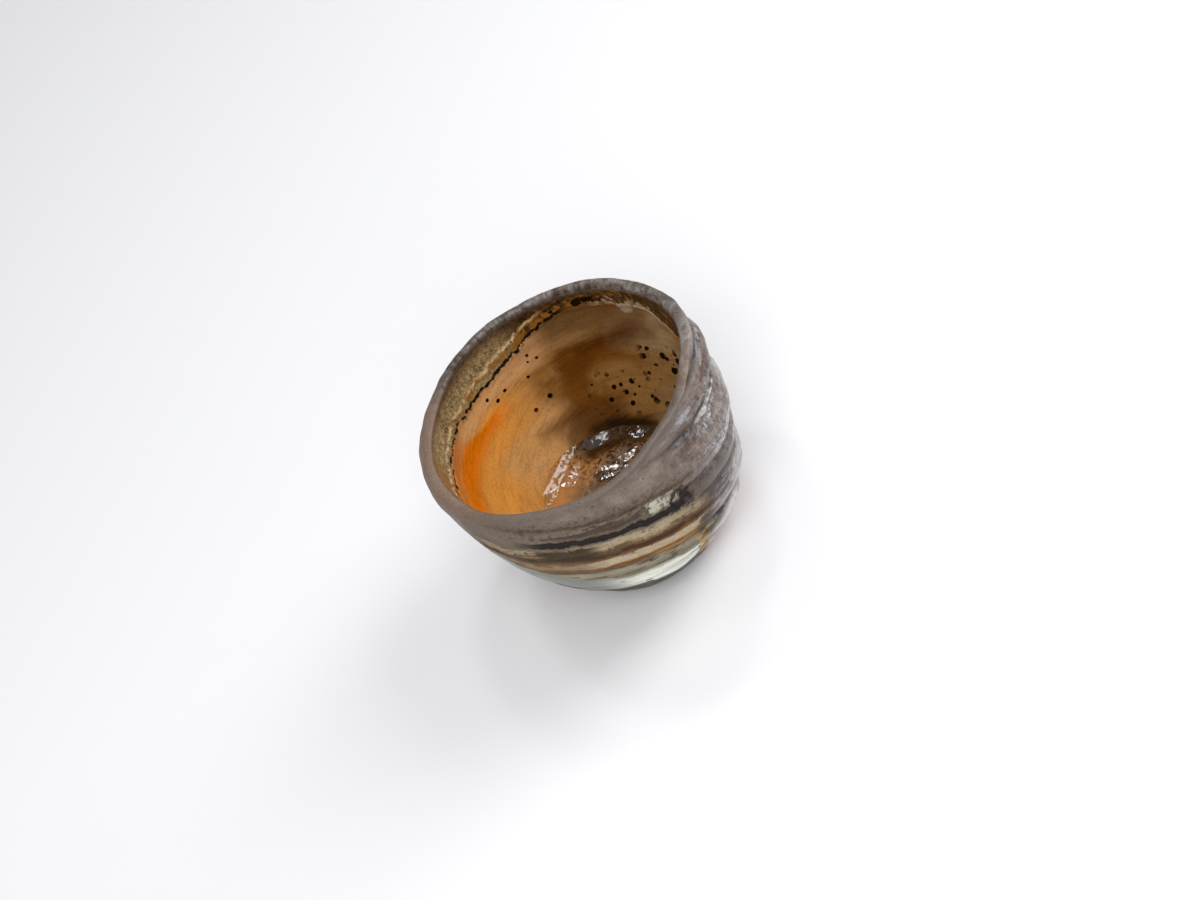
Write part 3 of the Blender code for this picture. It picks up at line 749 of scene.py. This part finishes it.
def amber_glaze():
    """Inside glaze: broad fields of colour under a black rolled edge and iron spots."""
    sh = Shader("amber_liner_glaze")
    edge = sh.attribute("edge").outputs["Fac"]
    fine = sh.noise(0.8, 4, 0.65)
    brushed = sh.streaks(10, 1.1, 4.0, -9.0)
    colour = glaze_fields(sh, brushed)
    colour = sh.shade(colour, sh.step(brushed, 0.44, 0.66), 0.80)
    colour = sh.shade(colour, sh.step(fine, 0.46, 0.68), 0.78)
    ragged = sh.add(edge, sh.centred(sh.noise(1.2, 5, 0.65), 3.0))
    halo = sh.flip(sh.step(ragged, 0.3, 1.5))
    width = sh.add(sh.times(sh.near(96, 16, 40), 0.45), 0.10)
    line = sh.flip(sh.step(sh.math("SUBTRACT", ragged, width), 0.0, 0.25))
    clotted = sh.blotch(2.0, 0.42, 0.52, 3.0)
    beads = sh.times(sh.near(48, 9, 16), sh.flip(sh.step(ragged, 0.6, 1.6)), clotted)
    run = sh.add(edge, sh.centred(sh.noise(3, 3, shift=3.0), 5.0))
    drip = sh.times(sh.near(49, 1.2, 3.2, sh.centred(fine, 0.004)), sh.flip(sh.step(run, 2.4, 3.6)))
    colour = sh.paint(
        colour,
        spots=((0.005, 0.002, 0.001), 1.0, iron_spots(sh)),
        halo=((0.120, 0.050, 0.014), 0.60, halo, sh.near(100, 30, 50)),
        line=(GLAZE_LINE_COLOUR, 1.0, line, sh.near(122, 46, 52)),
        beads=((0.300, 0.240, 0.165), 0.85, sh.math("MAXIMUM", beads, drip)),
    )
    sh.set(base_color=colour, roughness=sh.add(0.26, sh.times(fine, 0.2)), specular_ior_level=0.06)
    sh.bump(sh.add(sh.times(brushed, 0.5), sh.times(fine, 0.3)), 0.10)
    return sh.material


def ash_by_glaze_line(sh, colour, patchy, wobble):
    """Gold and cream above the black glaze line, with dark blobs and pale beads on it at the back."""
    edge = sh.attribute("edge").outputs["Fac"]
    ragged = sh.add(edge, sh.centred(sh.noise(1.2, 4), 2.2))
    gold = sh.times(sh.band(sh.add(edge, wobble), 0.2, 3.6, 0.8), sh.step(patchy, 0.42, 0.56))
    pale_edge = sh.add(edge, sh.times(wobble, 0.6), sh.times(sh.near(96, 6, 52), -1.9))
    cream = sh.times(sh.band(pale_edge, 1.1, 2.3, 0.5), sh.blotch(1.8, 0.40, 0.56))
    line = sh.flip(sh.step(ragged, 0.0, 0.4))
    blobs = sh.times(sh.spots(2.9, 1.0, 1.9, 0.55), sh.band(ragged, -0.5, 3.0, 0.5))
    beads = sh.times(sh.blotch(1.8, 0.50, 0.57, 2.0, shift=4.0), sh.flip(sh.step(ragged, 1.4, 2.4)))
    return sh.paint(
        colour,
        gold=((0.290, 0.122, 0.014), 0.85, sh.near(104, 30, 52), gold),
        cream=((0.760, 0.590, 0.330), 0.90, sh.near(132, 40, 54), cream),
        line=(GLAZE_LINE_COLOUR, 1.0, line, sh.near(122, 46, 52)),
        blobs=((0.006, 0.003, 0.001), 1.0, sh.near(69, 10, 14), blobs),
        beads=((0.330, 0.265, 0.180), 0.85, sh.near(47, 9, 16), beads),
    )


def ash_crust():
    """Grainy olive ash inside the lip, gold and cream by the glaze line, streaked brown at the back."""
    sh = Shader("olive_ash_crust")
    grain = sh.noise(0.7, 3, 0.7)
    runs = sh.noise(1.0, 3, 0.6, place=sh.scaled(sh.polar, (38.0, 38.0, 0.28)))
    patchy = sh.noise(2.2, 4, 0.6, 0.4, shift=8.0)
    uneven = sh.add(sh.times(runs, 0.55), sh.times(patchy, 0.45))
    wobble = sh.centred(sh.noise(4, 4), 3.0)
    mottled = sh.add(sh.times(grain, 0.55), sh.times(runs, 0.25), sh.times(patchy, 0.2))
    colour = sh.ramp(mottled, ((0.39, (0.090, 0.060, 0.026)), (0.50, (0.335, 0.240, 0.114)),
                               (0.61, (0.620, 0.480, 0.255))))
    streaked = sh.ramp(uneven, ((0.40, (0.010, 0.005, 0.001)), (0.51, (0.062, 0.026, 0.005)),
                                (0.62, (0.270, 0.120, 0.024))))
    smoked = sh.ramp(uneven, ((0.40, (0.030, 0.020, 0.013)), (0.58, (0.150, 0.118, 0.094))))
    top = sh.flip(sh.step(sh.add(sh.depth, wobble), 3.5, 9.0))
    frayed = sh.add(sh.depth, sh.centred(patchy, 4.0), sh.centred(runs, 3.0))
    colour = sh.paint(
        colour,
        top=((0.135, 0.090, 0.048), 0.55, top),
        left_end=((0.300, 0.125, 0.042), 0.75, sh.near(184, 14, 32)),
        back=(streaked, 0.94, sh.near(56, 34, 48, sh.centred(runs, 0.2))),
    )
    colour = ash_by_glaze_line(sh, colour, patchy, wobble)
    colour = sh.paint(
        colour,
        lip=(smoked, 0.85, sh.flip(sh.step(frayed, 2.4, 4.0))),
        spots=((0.030, 0.020, 0.014), 0.80, sh.spots(2.2, 0.0, 0.45, 0.4)),
    )
    sh.set(base_color=colour, roughness=sh.add(0.34, sh.times(grain, 0.3)), specular_ior_level=0.15)
    sh.bump(sh.add(grain, sh.times(uneven, 0.8)), 0.20)
    return sh.material


def pooled_glass():
    """Thick grey-brown glass in the well, gold at the left shore, dark and speckled at the back."""
    sh = Shader("pooled_glass")
    cloudy = sh.noise(4, 5, 0.65, 0.6)
    colour = sh.ramp(cloudy, ((0.36, (0.060, 0.036, 0.022)), (0.52, (0.190, 0.122, 0.080)),
                              (0.66, (0.340, 0.240, 0.165))))
    flat = sh.scaled(sh.place, (1, 1, 0))
    from_middle = sh.node("ShaderNodeVectorMath", flat, tuple(POOL_MIDDLE), operation="DISTANCE")
    away = sh.times(from_middle.outputs["Value"], METRE)
    reach = sh.add(away, sh.centred(sh.noise(4, 4), 6.0))
    colour = sh.paint(
        colour,
        thin=((0.300, 0.150, 0.048), 0.85, sh.step(reach, 17.0, 23.0)),
        shore=((0.500, 0.235, 0.075), 0.90, sh.near(150, 45, 80), sh.step(reach, 12.0, 21.0)),
        dark=((0.024, 0.010, 0.002), 0.92, sh.near(66, 30, 48), sh.step(reach, 17.0, 22.0)),
        speckle=((0.014, 0.008, 0.004), 0.85, sh.near(40, 60, 100), sh.blotch(1.2, 0.50, 0.57, 3.0)),
    )
    sh.set(base_color=colour, roughness=0.10, ior=1.7, specular_ior_level=0.6)
    sh.set(coat_weight=1.0, coat_roughness=0.03)
    swells = sh.times(sh.noise(4.2, 2, 0.45), 0.64)
    ripples = sh.times(sh.noise(1.5, 2, shift=3.0), 0.08)
    slant = METRE * math.sqrt(0.5)
    far_left = sh.node("ShaderNodeVectorMath", flat, (-slant, slant, 0.0), operation="DOT_PRODUCT")
    climb = sh.times(sh.step(far_left.outputs["Value"], 20.5, 24.5), 1.6)
    sh.bump(sh.add(swells, ripples, climb), 1.0)
    return sh.material


def pale_glaze():
    """Pale grey-green glaze that thins to olive at its edges and streaks along the ridges; its left end is
    darker olive deepened by painted shade.
    """
    sh = Shader("pale_skirt_glaze")
    edge = sh.attribute("edge").outputs["Fac"]
    streak = sh.streaks(24, 2.2, 2.0)
    fine = sh.noise(0.9, 3, 0.6)
    colour = sh.ramp(streak, ((0.34, (0.560, 0.570, 0.500)), (0.5, (0.800, 0.800, 0.710)),
                              (0.66, (0.920, 0.900, 0.810))))
    ragged = sh.add(edge, sh.centred(sh.noise(3, 4), 1.6))
    colour = sh.paint(
        colour,
        # left end: olive glaze, deepened by painted shade where the underside faces the floor
        left=((0.115, 0.130, 0.108), 0.90, sh.near(-146, 25, 46)),
        rim=((0.215, 0.205, 0.148), 0.85, sh.flip(sh.step(ragged, 0.3, 2.2))),
    )
    colour = sh.shade(colour, sh.step(fine, 0.5, 0.75), 0.85)
    colour = sh.paint(colour, spots=((0.120, 0.100, 0.070), 0.60, sh.spots(3.4, 0.0, 0.4, 0.6)))
    sh.set(base_color=colour, roughness=sh.add(0.22, sh.times(fine, 0.16)), specular_ior_level=0.2)
    sh.set(coat_weight=0.12, coat_roughness=0.1)
    sh.bump(sh.add(sh.times(streak, 0.6), sh.times(fine, 0.3)), 0.14)
    return sh.material


def bare_clay():
    """Unglazed foot: orange-flashed, gritty clay with turning lines."""
    sh = Shader("flashed_bare_clay")
    cloud = sh.noise(7, 5, 0.65)
    grain = sh.noise(0.6, 3, 0.7)
    colour = sh.ramp(cloud, ((0.32, (0.230, 0.095, 0.048)), (0.52, (0.400, 0.180, 0.090)),
                             (0.72, (0.520, 0.300, 0.180))))
    colour = sh.shade(colour, sh.step(grain, 0.45, 0.7), 0.65)
    colour = sh.paint(colour, spots=((0.060, 0.038, 0.028), 0.70, sh.spots(2.4, 0.0, 0.5, 0.7)))
    sh.set(base_color=colour, roughness=sh.add(0.62, sh.times(grain, 0.25)))
    sh.bump(sh.add(grain, sh.times(cloud, 0.5)), 0.20)
    return sh.material


def inside_point(depth, angle, proud):
    """A point that stands proud of the inside of the wall, square to it."""
    nudge = 0.02
    slope = (inner_radius(depth + nudge) - inner_radius(depth - nudge)) / (2 * nudge)
    length = np.hypot(1, slope)
    return hand_formed(inner_radius(depth) - proud / length, depth + proud * slope / length, angle)


def glaze_line(angle):
    """Depth of the ragged edge where the inside glaze begins; it climbs towards the lip at the back."""
    degrees = np.degrees(angle) % 360
    climb = smooth(degrees, 22, 42) - smooth(degrees, 74, 110)
    ragged = 0.35 * np.sin(9 * angle + 1) + 0.25 * np.sin(23 * angle) + 0.2 * np.sin(41 * angle + 2)
    ragged = ragged + 0.18 * np.sin(67 * angle + 1) * np.sin(5 * angle) + 0.14 * np.sin(97 * angle)
    return GLAZE_LINE_DEPTH - GLAZE_LINE_CLIMB * climb + ragged


def dress(piece, node, material):
    """Gives a piece its material and body, and hides the imported part of its node."""
    piece.data.materials.append(material)
    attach(piece, "root")
    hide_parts(node)


def make_cup_body():
    half_lip = LIP_THICKNESS / 2
    well_share = np.linspace(0.02, 0.97, WELL_ROWS)
    well = FLOOR_DEPTH * (1 - well_share ** 2) ** (1 / WELL_SHARPNESS)
    inside = np.concatenate([well, np.linspace(well[-1], half_lip, INSIDE_ROWS)[1:]])
    turn = np.radians(np.arange(10, 180, 10))
    centre = outer_radius(half_lip) - half_lip
    lip_radius = centre - half_lip * np.cos(turn)
    lip_depth = half_lip - half_lip * np.sin(turn)
    outside = np.linspace(half_lip, BASE_DEPTH, OUTSIDE_ROWS)
    under = np.linspace(BASE_RADIUS, 0.3, UNDER_ROWS)[1:]
    depth = np.concatenate([inside, lip_depth, outside, np.full(under.size, BASE_DEPTH)])
    radius = np.concatenate([inner_radius(inside), lip_radius, outer_radius(outside), under])
    on_outside = np.concatenate([np.zeros(inside.size), np.linspace(0, 1, lip_depth.size),
                                 np.ones(outside.size), np.zeros(under.size)])
    depth, radius, on_outside = depth[:, None], radius[:, None], on_outside[:, None]
    angle = ROUND[None, :]
    points = hand_formed(radius, depth, angle)
    lumps = sum(height * ripple(points, wavelength, seed) for height, wavelength, seed in BODY_LUMPS)
    wound = (depth - ridge_course(angle)) * 2 * math.pi * THROWING_RINGS / RIDGE_LEAD
    rings = THROWING_RING_HEIGHT * np.sin(wound)
    points = hand_formed(radius + (ridge(depth, angle) + lumps + rings) * on_outside, depth, angle)
    body = turned_solid("cup_body_skin", points, polar_of(depth, angle))
    dress(body, "cup_body", stoneware())


def make_liner_glaze():
    edge_rows, other_rows = np.linspace(0, 0.06, LINER_EDGE_ROWS), np.linspace(0.06, 1, LINER_ROWS)
    rows = np.concatenate([edge_rows, other_rows[1:]])[:, None]
    angle = ROUND[None, :]
    top, bottom = glaze_line(angle), POOL_DEPTH + 1.0
    depth = top + (bottom - top) * rows
    edge = depth - top
    roll = LINER_ROLL * np.exp(-((edge - LINER_ROLL_PLACE) / LINER_ROLL_WIDTH) ** 2)
    proud = LINER_PROUD + roll - (LINER_PROUD + LINER_ROLL) * np.exp(-edge / 0.3)
    rough_face = inside_point(depth, angle, proud)
    brushing = LINER_BRUSHING * np.sin((depth - 0.02 * np.degrees(angle)) * 1.1)
    proud = proud + LINER_RIPPLE * ripple(rough_face, 9, 3) + brushing
    face = inside_point(depth, angle, proud)
    back = inside_point(depth, angle, np.full_like(depth, -LINER_SINK))
    liner = coat_solid("liner_glaze_coat", face, back, polar_of(depth, angle), wrap=True)
    add_edge(liner, edge)
    dress(liner, "liner_glaze", amber_glaze())


def make_rim_ash_band():
    rows = np.linspace(0, 1, ASH_ROWS)[:, None]
    angle = ROUND[None, :]
    top, bottom = ASH_TOP_DEPTH, glaze_line(angle) + ASH_OVERLAP
    depth = top + (bottom - top) * rows
    proud = ASH_PROUD * smooth(depth, ASH_TOP_DEPTH, 3.5) - ASH_EDGE_SINK
    rough_face = inside_point(depth, angle, proud)
    proud = proud + ASH_RIPPLE * smooth(depth, 2, 5) * ripple(rough_face, 2.2, 4)
    face = inside_point(depth, angle, proud)
    back = inside_point(depth, angle, np.full_like(depth, -ASH_SINK))
    band = coat_solid("rim_ash_coat", face, back, polar_of(depth, angle), wrap=True)
    add_edge(band, glaze_line(angle) - depth)
    dress(band, "rim_ash_band", ash_crust())


def pool_swell(points):
    """Height of the set waves on the pool's surface."""
    place = (points + MIDDLE) / MM
    total = 0
    for wavelength, heading, height in POOL_WAVES:
        turn = math.radians(heading)
        travel = place[..., 0] * math.cos(turn) + place[..., 1] * math.sin(turn)
        total = total + height * np.sin(2 * math.pi * travel / wavelength)
    return total


def make_glaze_pool():
    shore = inner_radius(np.array(POOL_DEPTH)) + 0.1
    middle_share, shore_share = np.linspace(0.01, 0.9, POOL_ROWS), np.linspace(0.9, 1, SHORE_ROWS)
    share = np.concatenate([middle_share, shore_share[1:]])[:, None]
    angle = ROUND[None, ::2]
    flat = hand_formed(shore * share, np.full_like(share, POOL_DEPTH), angle)
    at_shore = smooth(share, MENISCUS_START, 1)
    meniscus = MENISCUS_HEIGHT * at_shore ** 2
    swell = pool_swell(flat) + POOL_RIPPLE * ripple(flat, 4.5, 6)
    depth = POOL_DEPTH - meniscus - swell * smooth(1 - share, 0, 0.1)
    reach = inner_radius(POOL_DEPTH - meniscus) + 0.15
    top = hand_formed(share * (shore + (reach - shore) * at_shore), depth, angle)
    under_share = np.linspace(1, 0.01, POOL_UNDER_ROWS)[:, None]
    under_depth = POOL_DEPTH + (FLOOR_DEPTH - POOL_DEPTH) * np.sqrt(1 - under_share ** 2)
    under = hand_formed(shore * under_share, under_depth, angle)
    points = np.concatenate([top, under])
    depths = np.concatenate([depth, under_depth + 0 * angle])
    pool = turned_solid("glaze_pool_glass", points, polar_of(depths, angle))
    dress(pool, "glaze_pool", pooled_glass())


def make_skirt_glaze():
    across = np.linspace(0, 1, SKIRT_COLUMNS)[None, :]
    down = np.linspace(0, 1, SKIRT_ROWS)[:, None]
    angle = SKIRT_FROM + (SKIRT_TO - SKIRT_FROM) * across
    top = SKIRT_TOP_DEPTH - SKIRT_TOP_RISE * (1 - across) ** 1.8
    low = SKIRT_LOW_DEPTH - SKIRT_LOW_RISE * (1 - across) ** 1.6
    round_end = np.sqrt(np.maximum(0, 1 - np.abs(2 * across - 1) ** 9))
    half = (low - top) / 2 * np.maximum(SKIRT_END_SHARE, round_end)
    depth = (top + low) / 2 + half * (2 * down - 1)
    wander = 0.5 * np.sin(angle * 11) + 0.3 * np.sin(angle * 29 + 1)
    depth = depth + wander * (2 * down - 1)
    inset = np.minimum(np.minimum(down, 1 - down) * 2 * half, np.minimum(across, 1 - across) * 60)
    proud = -SKIRT_EDGE_SINK + SKIRT_PROUD * (1 - np.exp(-inset / 0.7))
    wall = outer_radius(depth) + ridge(depth, angle)
    rough_face = hand_formed(wall, depth, angle)
    proud = proud + SKIRT_RIPPLE * ripple(rough_face, 7, 7) * smooth(inset, 0, 1.5)
    face = hand_formed(wall + proud, depth, angle)
    back = hand_formed(wall - SKIRT_SINK, depth, angle)
    skirt = coat_solid("skirt_glaze_coat", face[:, ::-1], back[:, ::-1],
                       polar_of(depth, angle)[:, ::-1], wrap=False)
    add_edge(skirt, (inset + 0 * depth)[:, ::-1])
    dress(skirt, "skirt_glaze", pale_glaze())


def make_foot_ring():
    turn = np.radians(np.linspace(0, 90, 8))
    corner = FOOT_ROUND * (1 - np.cos(turn))
    wall_end = CUP_HEIGHT - FOOT_ROUND
    wall = np.linspace(BASE_DEPTH, wall_end, 12)[:-1]
    flare = FOOT_FLARE * ((wall_end - wall) / FOOT_HEIGHT)
    outer_side = np.stack([FOOT_RADIUS + flare, wall], axis=1)
    outer_round = np.stack([FOOT_RADIUS - corner, CUP_HEIGHT - FOOT_ROUND * (1 - np.sin(turn))], axis=1)
    half = np.concatenate([outer_side, outer_round])
    middle = FOOT_RADIUS - FOOT_WIDTH / 2
    mirror = half[::-1] * [-1, 1] + [2 * middle, 0]
    ring = np.concatenate([half, mirror])
    radius, depth = ring[:, :1], ring[:, 1:]
    angle = ROUND[None, ::2]
    turning = TURNING_LINE_HEIGHT * np.sin(depth * 9 + 0.5 * np.sin(angle * 3))
    turning = turning * (depth < CUP_HEIGHT - 0.4)
    x = (radius + turning) * np.cos(angle) + LEAN_X * BASE_DEPTH
    y = (radius + turning) * np.sin(angle) + LEAN_Y * BASE_DEPTH
    z = np.broadcast_to(CUP_HEIGHT - depth, x.shape)
    points = np.stack([x, y, z], axis=-1) * MM - MIDDLE
    rows, columns = points.shape[:2]
    faces = grid_faces(rows, columns)
    last = (rows - 1) * columns
    for column in range(columns):
        after = (column + 1) % columns
        faces.append([last + column, column, after, last + after])
    foot = new_mesh("foot_ring_clay", points, faces, polar_of(depth, angle))
    dress(foot, "foot_ring", bare_clay())


def make_floor():
    mesh = bpy.data.meshes.new("floor")
    corners = [(x * FLOOR_REACH, y * FLOOR_REACH, 0) for x, y in ((-1, -1), (1, -1), (1, 1), (-1, 1))]
    mesh.from_pydata(corners, [], [(0, 1, 2, 3)])
    floor = bpy.data.objects.new("floor", mesh)
    bpy.context.scene.collection.objects.link(floor)
    material = bpy.data.materials.new("floor_paper")
    material.use_nodes = True
    shader = material.node_tree.nodes["Principled BSDF"]
    shader.inputs["Base Color"].default_value = (*FLOOR_COLOUR, 1)
    shader.inputs["Roughness"].default_value = FLOOR_ROUGHNESS
    mesh.materials.append(material)


def make_camera():
    """Camera placed and turned so that the middle of the rim falls on its pixel of the photograph."""
    sine, cosine = math.sin(CAMERA_ELEVATION), math.cos(CAMERA_ELEVATION)
    right, up, back = Vector((1, 0, 0)), Vector((0, sine, cosine)), Vector((0, -cosine, sine))
    rolled_right = right * math.cos(CAMERA_ROLL) - up * math.sin(CAMERA_ROLL)
    rolled_up = right * math.sin(CAMERA_ROLL) + up * math.cos(CAMERA_ROLL)
    turn = Matrix((rolled_right, rolled_up, back)).transposed()
    across = (RIM_CENTRE_PIXEL[0] - FRAME_SIZE[0] / 2) / FOCAL_PIXELS
    upward = (FRAME_SIZE[1] / 2 - RIM_CENTRE_PIXEL[1]) / FOCAL_PIXELS
    aim = Vector((across, upward, -1)).rotation_difference(Vector((0, 0, -1)))
    rim_centre = Vector((-MIDDLE[0], -MIDDLE[1], CUP_HEIGHT * MM))
    data = bpy.data.cameras.new("camera")
    data.sensor_width = 36
    data.lens = data.sensor_width * FOCAL_PIXELS / FRAME_SIZE[0]
    data.clip_start = 0.01
    camera = bpy.data.objects.new("camera", data)
    place = (turn @ aim.to_matrix()).to_4x4()
    place.translation = rim_centre + back * CAMERA_DISTANCE * MM
    camera.matrix_world = place
    bpy.context.scene.collection.objects.link(camera)
    bpy.context.scene.camera = camera


def make_light(name, place, target, size, power, mirrored):
    data = bpy.data.lights.new(name, "AREA")
    data.shape = "RECTANGLE"
    data.size, data.size_y = size
    data.energy = power
    light = bpy.data.objects.new(name, data)
    light.visible_glossy = mirrored
    light.location = place
    light.rotation_euler = (Vector(target) - Vector(place)).to_track_quat("-Z", "Y").to_euler()
    bpy.context.scene.collection.objects.link(light)


def make_studio():
    bpy.context.scene.view_settings.view_transform = "Standard"
    world = bpy.data.worlds.new("studio")
    world.use_nodes = True
    background = world.node_tree.nodes["Background"]
    background.inputs["Color"].default_value = (*SKY_COLOUR, 1)
    background.inputs["Strength"].default_value = SKY_STRENGTH
    bpy.context.scene.world = world
    for light in LIGHTS:
        make_light(*light)


make_floor()
make_cup_body()
make_foot_ring()
make_liner_glaze()
make_rim_ash_band()
make_glaze_pool()
make_skirt_glaze()
make_studio()
make_camera()
